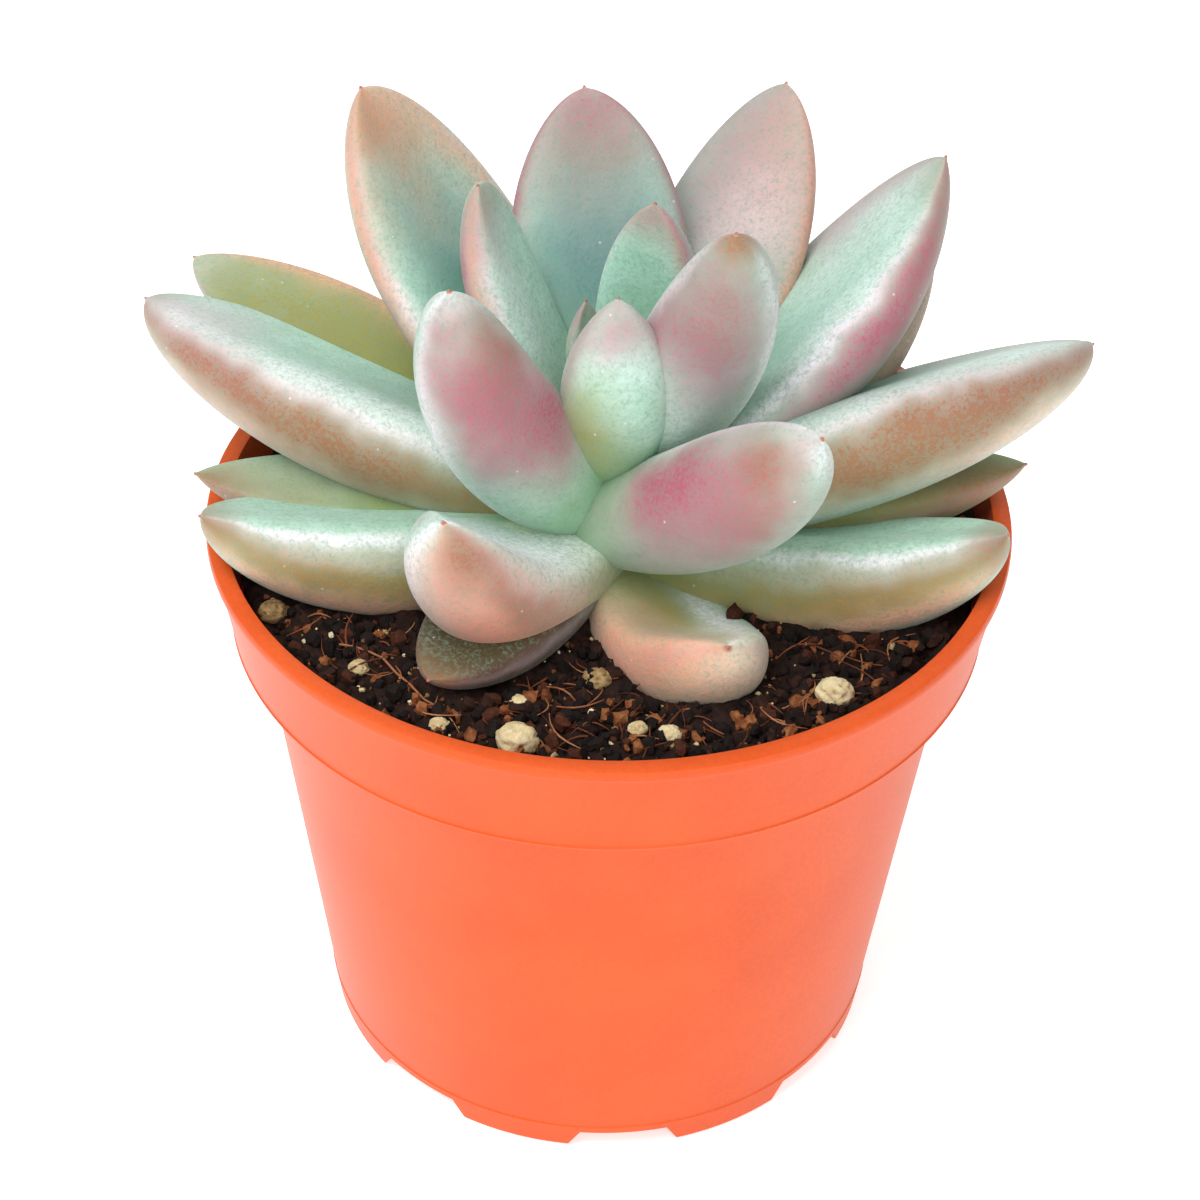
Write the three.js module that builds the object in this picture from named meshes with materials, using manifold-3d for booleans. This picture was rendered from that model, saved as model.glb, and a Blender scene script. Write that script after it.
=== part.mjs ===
// A rosette succulent in a round plastic nursery pot, with its potting mix and loose pumice grains.
// Millimetres, +Z up. The origin is the centre of the pot's foot, on the surface that it stands on.
// The front of the plant faces -Y, and its right is +X.
import * as THREE from "three";
import { mergeVertices } from "three/addons/utils/BufferGeometryUtils.js";
import Module from "manifold-3d";

const wasm = await Module();
wasm.setup();

// Pieces that touch keep this gap.
const GAP = 0.3;

// Pot: outside radii and heights of its wall. The wide band under the lip steps in to the tapering body.
const POT = {
  height: 82.5,
  lipRadius: 52.5,
  lipInnerRadius: 50,
  lipDepth: 1.6,
  bandTopRadius: 51.9,
  bandFootRadius: 49.9,
  bandHeight: 15,
  bodyTopRadius: 46.5,
  footRadius: 38.8,
  footHeight: 4.6,
  footWidth: 1.6,
  wall: 1.2,
  round: 0.4,
  segments: 44,
};

// The foot ring is cut through by notches, and the base has a middle drain and a ring of drains.
const NOTCHES = { count: 8, first: -84, height: 3.3, bottomWidth: 16, topWidth: 12 };
const DRAINS = { count: 4, first: 51, radius: 4.5, ringRadius: 24, sides: 16 };

// Potting mix: its level at the wall, its heap round the stem, and how far out the heap reaches.
const MIX = { level: 79, heap: 1.4, heapRadius: 22, wallRadius: 49, segments: 32 };

// Stem: a short thick axis with its foot in the mix and its tip inside the heart of the rosette.
const STEM = { x: 0, y: -4.5, foot: 60, top: 97, radius: 4.6, tipRadius: 1.6, footRadius: 2.5, segments: 10 };

// Leaf form. Foot shares are the width and thickness where it joins the stem, as parts of the largest.
// Places along the leaf run from 0 at the stem to 1 at the tip.
const LEAF = {
  rings: 9,
  sides: 10,
  footWidth: 0.68,
  footThickness: 0.7,
  widestAt: 0.56,
  thickestAt: 0.45,
  upperShare: 0.34,
  upperRound: 0.62,
  lowerRound: 0.9,
  channel: 0.12,
  start: 1.5,
};

// One row for each leaf, from the heart outwards.
// tip: where it ends. foot: the height at which it joins the stem. width and thickness: its largest.
// sag: how far its middle hangs below the straight line. blunt: 1 for a pointed end, 0.5 for a round one.
// Some rows also have sway, how far the middle bows to the leaf's left, roll, the leaf's turn about its own
// length in degrees, aside, how far the foot sits to the left of the stem's axis, and widestAt, the share of
// its length at which it is widest.
const LEAVES = [
  { tip: [-3.5, -1, 114], foot: 97, width: 6, thickness: 4, sag: 1, blunt: 0.8 },
  { tip: [24.6, -27, 112.7], foot: 86.5, width: 16.5, thickness: 13, sag: 3, roll: -80, aside: -4, blunt: 0.55 },
  { tip: [14, -12, 131], foot: 93, width: 16.5, thickness: 12, sag: 2, sway: 3.5, roll: -55, widestAt: 0.45, blunt: 0.6 },
  { tip: [-19.4, -15, 124], foot: 87, width: 17, thickness: 14, sag: 4, roll: 50, widestAt: 0.42, blunt: 0.5 },
  { tip: [0.4, -9.5, 120], foot: 92, width: 14, thickness: 8, sag: 3, blunt: 0.7 },
  { tip: [4.7, 5, 124.5], foot: 93, width: 14, thickness: 8, sag: 3, blunt: 0.7 },
  { tip: [-17, 5, 126.5], foot: 91, width: 17, thickness: 9, sag: 4, sway: -2.5, roll: 20, blunt: 0.58 },
  { tip: [-4.6, 33, 125], foot: 90, width: 24, thickness: 10, sag: 4, sway: -1, blunt: 0.6 },
  { tip: [-33, 26, 128], foot: 89, width: 30, thickness: 12, sag: 5, sway: -2.5, roll: 16, blunt: 0.62 },
  { tip: [41.8, 22, 122.3], foot: 87, width: 36, thickness: 14, sag: 5, sway: 1, roll: -28, blunt: 0.7 },
  { tip: [22.2, 42, 121.4], foot: 88, width: 22, thickness: 10, sag: 4, blunt: 0.65 },
  { tip: [-19.5, -29.5, 101], foot: 85, width: 20, thickness: 16, sag: 7, blunt: 0.5 },
  { tip: [-61, 15, 102.5], foot: 86.5, width: 29, thickness: 16.5, sag: 1.2, roll: 24, blunt: 0.55 },
  { tip: [61.8, 10.5, 102], foot: 86.5, width: 34, thickness: 17, sag: 0.3, roll: -34, blunt: 0.55 },
  { tip: [-57, 30.8, 99], foot: 84.5, width: 21, thickness: 10, sag: -1, blunt: 0.65 },
  { tip: [42, 28, 106.5], foot: 85, width: 20, thickness: 11, sag: 5, blunt: 0.75 },
  { tip: [14.6, -34.5, 87], foot: 82.5, width: 20, thickness: 14, sag: 7, roll: -12, blunt: 0.4 },
  { tip: [-51, -15, 90], foot: 85, width: 22.5, thickness: 16, sag: 3.8, roll: 22, blunt: 0.55 },
  { tip: [49.6, -16, 91], foot: 83, width: 20, thickness: 16.5, sag: 4.9, roll: -22, blunt: 0.5 },
  { tip: [54, 3, 88], foot: 84, width: 15, thickness: 11, sag: 1, blunt: 0.75 },
  { tip: [-53.2, -3.5, 88], foot: 84, width: 15, thickness: 10, sag: 1, blunt: 0.75 },
  { tip: [-21.3, -36, 82], foot: 83, width: 17, thickness: 10, sag: 0, blunt: 0.6 },
  { tip: [-23, 42, 107], foot: 85, width: 20, thickness: 11, sag: 4, blunt: 0.7 },
  { tip: [9, 48, 101], foot: 85, width: 20, thickness: 11, sag: 4, blunt: 0.7 },
  { tip: [-34, 34, 90], foot: 84, width: 18, thickness: 11, sag: 1, blunt: 0.7 },
  { tip: [38, 28, 87], foot: 84, width: 17, thickness: 9, sag: 1, blunt: 0.7 },
  { tip: [-8, 47, 91], foot: 83, width: 17, thickness: 11, sag: 1, blunt: 0.7 },
];

// Loose pumice grains, half sunk in the mix: place and radius.
const GRAINS = [
  { x: -10.2, y: -43.7, radius: 2.6 },
  { x: 28, y: -33.7, radius: 2.4 },
  { x: -1, y: -32.6, radius: 1.9 },
  { x: 7.9, y: -42, radius: 1.5 },
  { x: 4.1, y: -41, radius: 1.2 },
  { x: -10.4, y: -36.8, radius: 1.2 },
  { x: -30.3, y: -31, radius: 1.3 },
  { x: -42, y: -20.5, radius: 1.9 },
  { x: -19.8, y: -41.3, radius: 1.3 },
  { x: 26, y: 39, radius: 1.9 },
  { x: -14, y: 43.5, radius: 1.6 },
];

// How much larger an icosahedron is than the ball that fits inside it.
const POCKET = 1.26;

const COLOURS = { pot: 0xe8673f, mix: 0x2a1a12, stem: 0x8fa878, leaf: 0xa9cdbb, grain: 0xcfc4a4 };

const radians = THREE.MathUtils.degToRad;

// A closed geometry as a manifold-3d solid, with its shared vertices merged.
function solidOf(geometry) {
  const bare = geometry.clone();
  bare.deleteAttribute("normal");
  bare.deleteAttribute("uv");
  const merged = mergeVertices(bare, 1e-4);
  const mesh = new wasm.Mesh({
    numProp: 3,
    vertProperties: merged.attributes.position.array,
    triVerts: new Uint32Array(merged.index.array),
  });
  return new wasm.Manifold(mesh);
}

function geometryOf(solid) {
  const mesh = solid.getMesh();
  const geometry = new THREE.BufferGeometry();
  geometry.setAttribute("position", new THREE.BufferAttribute(mesh.vertProperties, 3));
  geometry.setIndex(new THREE.BufferAttribute(mesh.triVerts, 1));
  geometry.computeVertexNormals();
  return geometry;
}

// Turns a profile of [radius, height] points about Z. It runs from the foot of the axis to its top.
function turned(profile, segments) {
  const points = profile.map(([radius, height]) => new THREE.Vector2(radius, height));
  return new THREE.LatheGeometry(points, segments).rotateX(Math.PI / 2);
}

function potProfile() {
  const { height, wall, round, footHeight, footRadius, footWidth } = POT;
  const bandFoot = height - POT.bandHeight;
  const lipFoot = height - POT.lipDepth;
  const slope = (POT.bodyTopRadius - footRadius) / bandFoot;
  const floorTop = footHeight + wall;
  return [
    [0, footHeight],
    [footRadius - footWidth, footHeight],
    [footRadius - footWidth, 0],
    [footRadius, 0],
    [POT.bodyTopRadius, bandFoot],
    [POT.bandFootRadius, bandFoot],
    [POT.bandTopRadius, lipFoot],
    [POT.lipRadius, lipFoot + round / 2],
    [POT.lipRadius, height - round],
    [POT.lipRadius - round, height],
    [POT.lipInnerRadius + round / 2, height],
    [POT.lipInnerRadius, height - round / 2],
    [POT.bandFootRadius - wall, bandFoot + wall],
    [POT.bodyTopRadius - wall, bandFoot + wall],
    [footRadius + slope * floorTop - wall, floorTop],
    [0, floorTop],
  ];
}

// A bar across the foot ring whose section is the notch, wider at the bottom.
function notchCutter(angle) {
  const { height, bottomWidth, topWidth } = NOTCHES;
  const below = 1;
  const flare = ((bottomWidth - topWidth) / height) * below;
  const section = new THREE.Shape();
  section.moveTo(-(bottomWidth + flare) / 2, -below);
  section.lineTo((bottomWidth + flare) / 2, -below);
  section.lineTo(topWidth / 2, height);
  section.lineTo(-topWidth / 2, height);
  const reach = 10;
  const bar = new THREE.ExtrudeGeometry(section, { depth: reach, bevelEnabled: false });
  bar.rotateX(Math.PI / 2);
  bar.rotateZ(Math.PI / 2);
  bar.translate(POT.footRadius - reach / 2, 0, 0);
  return solidOf(bar.rotateZ(radians(angle)));
}

function drainCutter(x, y) {
  const hole = new THREE.CylinderGeometry(DRAINS.radius, DRAINS.radius, 3 * POT.wall, DRAINS.sides);
  hole.rotateX(Math.PI / 2);
  return solidOf(hole.translate(x, y, POT.footHeight + POT.wall / 2));
}

function potSolid() {
  let pot = solidOf(turned(potProfile(), POT.segments));
  for (let i = 0; i < NOTCHES.count; i++) {
    pot = pot.subtract(notchCutter(NOTCHES.first + (i * 360) / NOTCHES.count));
  }
  pot = pot.subtract(drainCutter(0, 0));
  for (let i = 0; i < DRAINS.count; i++) {
    const angle = radians(DRAINS.first + (i * 360) / DRAINS.count);
    const x = DRAINS.ringRadius * Math.cos(angle);
    const y = DRAINS.ringRadius * Math.sin(angle);
    pot = pot.subtract(drainCutter(x, y));
  }
  return pot;
}

// The mix fills the pot from its floor, a gap inside the wall, and is heaped towards the stem.
function mixSolid() {
  const bandFoot = POT.height - POT.bandHeight;
  const floor = POT.footHeight + POT.wall + GAP;
  const slope = (POT.bodyTopRadius - POT.footRadius) / bandFoot;
  const inset = POT.wall + 2 * GAP;
  const bandSlope = (POT.lipInnerRadius - POT.bandFootRadius + POT.wall) / POT.bandHeight;
  const profile = [
    [0, floor],
    [POT.footRadius + slope * floor - inset, floor],
    [POT.bodyTopRadius - inset, bandFoot + POT.wall + GAP],
    [POT.bandFootRadius - inset, bandFoot + POT.wall + GAP],
    [POT.bandFootRadius - inset + bandSlope * (MIX.level - bandFoot), MIX.level],
    [MIX.heapRadius, MIX.level + MIX.heap / 3],
    [0, MIX.level + MIX.heap],
  ];
  return solidOf(turned(profile, MIX.segments));
}

function stemSolid(grow) {
  const profile = [
    [0, STEM.foot - grow],
    [STEM.footRadius + grow, STEM.foot - grow],
    [STEM.radius + grow, STEM.foot + STEM.radius * 2],
    [STEM.radius + grow, STEM.top - STEM.radius * 2],
    [STEM.tipRadius + grow, STEM.top + grow],
    [0, STEM.top + grow],
  ];
  return solidOf(turned(profile, STEM.segments).translate(STEM.x, STEM.y, 0));
}

// The share of a leaf's full width or thickness at a place along it.
function outline(along, footShare, peak, blunt) {
  if (along < peak) return footShare + (1 - footShare) * Math.sin((Math.PI / 2) * (along / peak));
  const past = (along - peak) / (1 - peak);
  return (1 - past ** 2) ** blunt;
}

// The leaf's middle line, from just outside the stem's axis to the tip.
function middleLine(leaf) {
  const tip = new THREE.Vector3(...leaf.tip);
  const outwards = new THREE.Vector3(leaf.tip[0] - STEM.x, leaf.tip[1] - STEM.y, 0).normalize();
  const side = new THREE.Vector3().crossVectors(outwards, new THREE.Vector3(0, 0, 1));
  const foot = new THREE.Vector3(STEM.x, STEM.y, leaf.foot).addScaledVector(outwards, LEAF.start);
  foot.addScaledVector(side, -(leaf.aside ?? 0));
  const run = new THREE.Vector3().subVectors(tip, foot).normalize();
  const under = new THREE.Vector3().crossVectors(run, side);
  const bend = new THREE.Vector3().lerpVectors(foot, tip, 0.5);
  bend.addScaledVector(under, 2 * leaf.sag).addScaledVector(side, -2 * (leaf.sway ?? 0));
  return { curve: new THREE.QuadraticBezierCurve3(foot, bend, tip), side };
}

// One ring of the leaf's skin: a flattish, slightly hollow upper face over a deep round underside.
function leafRing(leaf, line, along, grow) {
  const centre = line.curve.getPoint(along);
  const run = line.curve.getTangent(along);
  const up = new THREE.Vector3().crossVectors(line.side, run).normalize();
  const side = new THREE.Vector3().crossVectors(run, up);
  up.applyAxisAngle(run, radians(leaf.roll ?? 0));
  side.applyAxisAngle(run, radians(leaf.roll ?? 0));
  const half = (leaf.width / 2) * outline(along, LEAF.footWidth, leaf.widestAt ?? LEAF.widestAt, leaf.blunt) + grow;
  const deep = leaf.thickness * outline(along, LEAF.footThickness, LEAF.thickestAt, leaf.blunt);
  return Array.from({ length: LEAF.sides }, (_, i) => {
    const angle = (2 * Math.PI * i) / LEAF.sides;
    const across = Math.cos(angle);
    const lift = Math.sin(angle);
    const hollow = LEAF.channel * deep * (1 - across ** 2) ** 2;
    const height =
      lift > 0
        ? (LEAF.upperShare * deep + grow) * lift ** LEAF.upperRound - hollow
        : -((1 - LEAF.upperShare) * deep + grow) * Math.abs(lift) ** LEAF.lowerRound;
    return centre.clone().addScaledVector(side, half * across).addScaledVector(up, height);
  });
}

// The leaf as a closed skin of rings, with its foot closed flat and its tip a point.
function leafSolid(leaf, grow) {
  const line = middleLine(leaf);
  const { rings, sides } = LEAF;
  const points = [line.curve.getPoint(0).addScaledVector(line.curve.getTangent(0), -grow)];
  for (let i = 0; i < rings; i++) {
    const along = Math.sin((Math.PI / 2) * (i / rings) ** 0.9);
    points.push(...leafRing(leaf, line, along, grow));
  }
  points.push(line.curve.getPoint(1).addScaledVector(line.curve.getTangent(1), grow));
  const at = (ring, side) => 1 + ring * sides + (side % sides);
  const faces = [];
  for (let j = 0; j < sides; j++) {
    faces.push(0, at(0, j), at(0, j + 1));
    for (let i = 0; i < rings - 1; i++) {
      faces.push(at(i, j), at(i + 1, j + 1), at(i, j + 1));
      faces.push(at(i, j), at(i + 1, j), at(i + 1, j + 1));
    }
    faces.push(at(rings - 1, j), points.length - 1, at(rings - 1, j + 1));
  }
  const geometry = new THREE.BufferGeometry().setFromPoints(points);
  geometry.setIndex(faces);
  return solidOf(geometry);
}

function largestBody(solid) {
  return solid.decompose().reduce((most, body) => (body.volume() > most.volume() ? body : most));
}

function mixHeight(radius) {
  const share = (MIX.wallRadius - radius) / (MIX.wallRadius - MIX.heapRadius);
  return MIX.level + (MIX.heap / 3) * Math.min(1, share);
}

// A grain with detail 1 is a rough ball. With detail 0 it is the plain pocket that holds such a ball.
function grainSolid(grain, size, detail) {
  const shape = new THREE.IcosahedronGeometry(size, detail).scale(1, 0.85, 0.8);
  const height = mixHeight(Math.hypot(grain.x, grain.y)) + 0.2 * grain.radius;
  return solidOf(shape.translate(grain.x, grain.y, height));
}

function meshOf(name, solid, colour, roughness) {
  const material = new THREE.MeshStandardMaterial({ color: colour, roughness, metalness: 0 });
  const mesh = new THREE.Mesh(geometryOf(solid), material);
  mesh.name = name;
  return mesh;
}

const plant = new THREE.Group();
plant.add(meshOf("pot", potSolid(), COLOURS.pot, 0.5));

// Each leaf gives way to the stem and to the leaves nearer the heart, which press into its foot.
plant.add(meshOf("stem", stemSolid(0), COLOURS.stem, 0.6));
let taken = stemSolid(GAP);
LEAVES.forEach((leaf, i) => {
  const name = `leaf_${String(i + 1).padStart(2, "0")}`;
  const solid = largestBody(leafSolid(leaf, 0).subtract(taken));
  plant.add(meshOf(name, solid, COLOURS.leaf, 0.55));
  taken = taken.add(leafSolid(leaf, GAP));
});

GRAINS.forEach((grain, i) => {
  plant.add(meshOf(`pumice_${i + 1}`, grainSolid(grain, grain.radius, 1), COLOURS.grain, 0.9));
  taken = taken.add(grainSolid(grain, (grain.radius + GAP) * POCKET, 0));
});
plant.add(meshOf("potting_mix", largestBody(mixSolid().subtract(taken)), COLOURS.mix, 0.95));

export default plant;
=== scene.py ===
# Potted rosette succulent: waxy leaves, dark potting mix, coral nursery pot.
# The CAD pack is the frame. Everything in Blender is in metres, in the CAD's own place.
import math
import random

import bpy
import numpy as np
from mathutils import Euler, Matrix, Vector, noise
from mathutils.bvhtree import BVHTree


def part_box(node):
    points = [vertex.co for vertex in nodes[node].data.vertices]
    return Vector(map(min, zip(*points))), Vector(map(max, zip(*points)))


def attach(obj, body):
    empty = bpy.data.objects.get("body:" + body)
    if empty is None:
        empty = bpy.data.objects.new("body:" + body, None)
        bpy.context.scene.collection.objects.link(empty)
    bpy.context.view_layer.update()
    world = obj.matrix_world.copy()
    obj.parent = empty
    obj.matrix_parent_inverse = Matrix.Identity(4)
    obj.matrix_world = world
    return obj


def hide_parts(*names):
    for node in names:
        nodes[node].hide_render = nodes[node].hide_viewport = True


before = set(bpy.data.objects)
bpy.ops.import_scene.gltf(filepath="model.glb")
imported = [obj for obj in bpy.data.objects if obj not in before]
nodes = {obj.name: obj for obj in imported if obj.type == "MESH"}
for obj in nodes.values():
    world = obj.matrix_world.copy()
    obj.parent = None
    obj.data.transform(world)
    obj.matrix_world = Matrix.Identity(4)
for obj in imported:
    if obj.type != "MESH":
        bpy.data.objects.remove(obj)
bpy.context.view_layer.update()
mm = 0.001  # sizes in the dictionaries below are in mm, unless a note says otherwise


def linearColour(code):  # "#rrggbb" in sRGB to the linear colour that shaders use
    channels = [int(code[i:i + 2], 16) / 255 for i in (1, 3, 5)]
    return [c / 12.92 if c <= 0.04045 else ((c + 0.055) / 1.055) ** 2.4 for c in channels] + [1.0]


def addNode(tree, kind, settings=None, links=None):  # settings are sockets or options, links are sources
    node = tree.nodes.new("ShaderNode" + kind)
    for key, value in (settings or {}).items():
        if isinstance(key, int) or key in node.inputs:
            node.inputs[key].default_value = value
        else:
            setattr(node, key, value)
    for key, source in (links or {}).items():
        tree.links.new(source, node.inputs[key])
    return node


def startMaterial(name, **shaderValues):
    material = bpy.data.materials.new(name)
    material.use_nodes = True
    tree = material.node_tree
    shader = tree.nodes["Principled BSDF"]
    for key, value in shaderValues.items():
        shader.inputs[key.replace("_", " ")].default_value = value
    return material, tree, shader


def fillRamp(node, stops):  # stops: (place, colour code)
    ramp = node.color_ramp
    while len(ramp.elements) < len(stops):
        ramp.elements.new(1.0)
    for element, (place, code) in zip(ramp.elements, stops):
        element.position = place
        element.color = linearColour(code)
    return node


def selectNothing():
    for item in bpy.context.selected_objects:
        item.select_set(False)


def makeActive(piece):
    selectNothing()
    piece.select_set(True)
    bpy.context.view_layer.objects.active = piece


def startPiece(name):  # names the primitive just added and opens it for editing, all selected
    piece = bpy.context.object
    piece.name = name
    piece.data.name = name
    bpy.ops.object.mode_set(mode="EDIT")
    bpy.ops.mesh.select_all(action="SELECT")
    return piece


def pickVerts(piece, test):  # in edit mode: selects the vertices whose place passes the test
    bpy.ops.mesh.select_mode(type="VERT")
    bpy.ops.mesh.select_all(action="DESELECT")
    bpy.ops.object.mode_set(mode="OBJECT")
    for vert in piece.data.vertices:
        vert.select = test(vert.co)
    bpy.ops.object.mode_set(mode="EDIT")


def endPiece(piece):  # leaves edit mode and puts the piece's place into its mesh
    bpy.ops.object.mode_set(mode="OBJECT")
    makeActive(piece)
    bpy.ops.object.transform_apply(location=True, rotation=True, scale=True)
    return piece


def applyModifier(piece, kind, **settings):
    makeActive(piece)
    modifier = piece.modifiers.new(kind.lower(), kind)
    for key, value in settings.items():
        setattr(modifier, key, value)
    bpy.ops.object.modifier_apply(modifier=modifier.name)


def readPlaces(mesh):
    places = np.zeros(len(mesh.vertices) * 3, np.float32)
    mesh.vertices.foreach_get("co", places)
    return places.reshape(-1, 3).astype(float)


def writePlaces(mesh, places):
    mesh.vertices.foreach_set("co", np.asarray(places, np.float32).ravel())
    mesh.update()


def writeValues(mesh, name, values):
    attribute = mesh.attributes.get(name) or mesh.attributes.new(name, "FLOAT", "POINT")
    attribute.data.foreach_set("value", np.asarray(values, np.float32))


def readValues(mesh, name):
    values = np.zeros(len(mesh.vertices), np.float32)
    mesh.attributes[name].data.foreach_get("value", values)
    return values.astype(float)


def finishPiece(piece, material, slotName, *replaced, smoothAngle=None):
    piece.data.materials.clear()
    piece.data.materials.append(material)
    makeActive(piece)
    if smoothAngle is None:
        bpy.ops.object.shade_smooth()
    else:
        bpy.ops.object.shade_smooth_by_angle(angle=math.radians(smoothAngle))
    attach(piece, "root")
    if replaced:
        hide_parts(*replaced)


# Camera, light and floor, in metres and degrees. The camera looks down into the plant from the front.
view = {
    "place": (0.0, -0.29354, 0.30377), "pan": 0.184, "tilt": 50.98, "roll": 1.303,
    "lens": 84.26, "sensor": 36,
}
camera = bpy.data.objects.new("camera", bpy.data.cameras.new("camera"))
bpy.context.scene.collection.objects.link(camera)
camera.data.lens = view["lens"]
camera.data.sensor_width = view["sensor"]
pan = Matrix.Rotation(math.radians(view["pan"]), 4, "Z")
tilt = Matrix.Rotation(math.radians(view["tilt"]), 4, "X")
roll = Matrix.Rotation(math.radians(view["roll"]), 4, "Z")
camera.matrix_world = Matrix.Translation(view["place"]) @ (pan @ tilt) @ roll
bpy.context.scene.camera = camera
bpy.context.scene.view_settings.view_transform = "Standard"

lamps = {
    "key": {"place": (-0.30, -0.25, 0.75), "size": 0.60, "power": 6.0},
    "fill": {"place": (0.18, -0.66, 0.32), "size": 0.60, "power": 2.5},
    "rear": {"place": (0.10, 0.60, 0.55), "size": 0.50, "power": 1.1},
}
studio = {"aim": (0, 0, 0.08), "sky": "#fdfdff", "skyStrength": 0.40, "floorSize": 6.0, "floorDrop": 0.0002}
for name, lamp in lamps.items():
    light = bpy.data.lights.new(name, "AREA")
    light.size = lamp["size"]
    light.energy = lamp["power"]
    holder = bpy.data.objects.new(name, light)
    holder.location = lamp["place"]
    aim = Vector(studio["aim"]) - Vector(lamp["place"])
    holder.rotation_euler = aim.to_track_quat("-Z", "Y").to_euler()
    bpy.context.scene.collection.objects.link(holder)

world = bpy.data.worlds.new("studio")
world.use_nodes = True
world.node_tree.nodes["Background"].inputs["Color"].default_value = linearColour(studio["sky"])
world.node_tree.nodes["Background"].inputs["Strength"].default_value = studio["skyStrength"]
bpy.context.scene.world = world

selectNothing()
bpy.ops.mesh.primitive_plane_add(size=studio["floorSize"], location=(0, 0, -studio["floorDrop"]))
floor = endPiece(startPiece("floor"))
# Studio paper: no gloss, a faint 3 mm cloudiness, and a little light of its own so that it stays white.
floorPaint, tree, shader = startMaterial("mattWhiteSweep", Roughness=0.9, Emission_Strength=0.5)
place = addNode(tree, "TexCoord").outputs["Object"]
paper = addNode(tree, "TexNoise", {"Scale": 300.0, "Detail": 3.0}, {"Vector": place})
tone = addNode(tree, "ValToRGB", links={0: paper.outputs[0]})
fillRamp(tone, [(0.3, "#f6f6f6"), (0.7, "#fafafa")])
tree.links.new(tone.outputs[0], shader.inputs["Base Color"])
floor.data.materials.append(floorPaint)
print("camera, lamps and floor are set")


# The pot is one thin moulded wall: foot ring, tapering body, wide band and lip.
pot = {
    "height": 82.5, "bandHeight": 15.0, "footHeight": 4.6, "wall": 1.2, "sides": 176,
    "footRadius": 38.8, "footWidth": 1.6, "bodyTopRadius": 46.5, "bandFootRadius": 49.9,
    "bandTopRadius": 51.9, "lipRadius": 52.5, "lipInnerRadius": 50.0, "lipDepth": 1.6,
    "notches": 8, "firstNotch": -84, "notchHeight": 3.3, "notchBottom": 16.0, "notchTop": 12.0,
    "notchSpare": 1.03, "barLength": 10, "barDrop": 1,  # the bar that cuts a notch reaches below the foot
    "drains": 4, "firstDrain": 51, "drainRadius": 4.5, "drainRing": 24.0, "drainSides": 40,
    "drillMiddle": 5.2, "drillLength": 4, "smoothAngle": 28,
}


def potProfile():  # (radius, height): the base's underside, the foot, up, over the lip and down inside
    foot, bodyTop, wall = pot["footRadius"], pot["bodyTopRadius"], pot["wall"]
    bandLow, bandHigh = pot["bandFootRadius"], pot["bandTopRadius"]
    lip, lipInner, top = pot["lipRadius"], pot["lipInnerRadius"], pot["height"]
    base = pot["footHeight"]
    bandFoot = top - pot["bandHeight"]
    lipFoot = top - pot["lipDepth"]
    floorTop = base + wall
    slope = (bodyTop - foot) / bandFoot
    footInner = foot - pot["footWidth"]
    return [
        # the underside of the base and the rounded foot ring
        (footInner - 0.5, base), (footInner - 0.1, base - 0.1), (footInner, base - 0.5),
        (footInner, 0.3), (footInner + 0.25, 0.0), (foot - 0.25, 0.0), (foot + 0.12, 0.3),
        # a fine step over the ring, then the tapering body
        (foot + 0.14 + slope * 4.4, 4.4), (foot + slope * 4.65, 4.65),
        (foot + slope * 20, 20), (foot + slope * 45, 45),
        # the shoulder and the rolled lower edge of the band
        (bodyTop - 0.04, bandFoot - 0.8), (bodyTop + 0.15, bandFoot - 0.25), (bodyTop + 0.7, bandFoot),
        (bandLow - 0.25, bandFoot), (bandLow + 0.1, bandFoot + 0.15),
        (bandLow + 0.2, bandFoot + 0.4), (bandLow + 0.05, bandFoot + 0.65),
        # the band's upper edge and the rounded lip
        (bandHigh - 0.1, lipFoot - 0.5), (bandHigh + 0.02, lipFoot - 0.12),
        (lip - 0.12, lipFoot + 0.02), (lip, lipFoot + 0.25),
        (lip, top - 0.55), (lip - 0.15, top - 0.18), (lip - 0.5, top),
        (lipInner + 0.45, top), (lipInner + 0.12, top - 0.14), (lipInner, top - 0.5),
        # down inside to the base's upper face
        (bandLow - wall, bandFoot + wall), (bodyTop - wall, bandFoot + wall),
        (foot + slope * 30 - wall, 30),
        (foot + slope * floorTop - wall, floorTop + 0.6), (foot + slope * floorTop - wall - 0.6, floorTop),
    ]


def turnRing(profile, sides):  # a circle carried along the profile by extrude and resize
    selectNothing()
    radius, height = profile[0]
    bpy.ops.mesh.primitive_circle_add(
        vertices=sides, radius=radius * mm, location=(0, 0, height * mm), fill_type="NGON")
    piece = startPiece("turned")
    bpy.ops.mesh.delete(type="ONLY_FACE")
    bpy.ops.mesh.select_all(action="SELECT")
    for (radiusBefore, heightBefore), (radius, height) in zip(profile, profile[1:]):
        step = (height - heightBefore) * mm
        bpy.ops.mesh.extrude_region_move(TRANSFORM_OT_translate={"value": (0, 0, step)})
        scale = radius / radiusBefore
        bpy.ops.transform.resize(value=(scale, scale, 1), center_override=(0, 0, height * mm))
    bpy.ops.mesh.edge_face_add()
    return piece


def cutPiece(piece, cutter):
    applyModifier(piece, "BOOLEAN", operation="DIFFERENCE", solver="EXACT", object=cutter)
    bpy.data.objects.remove(cutter)


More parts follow.
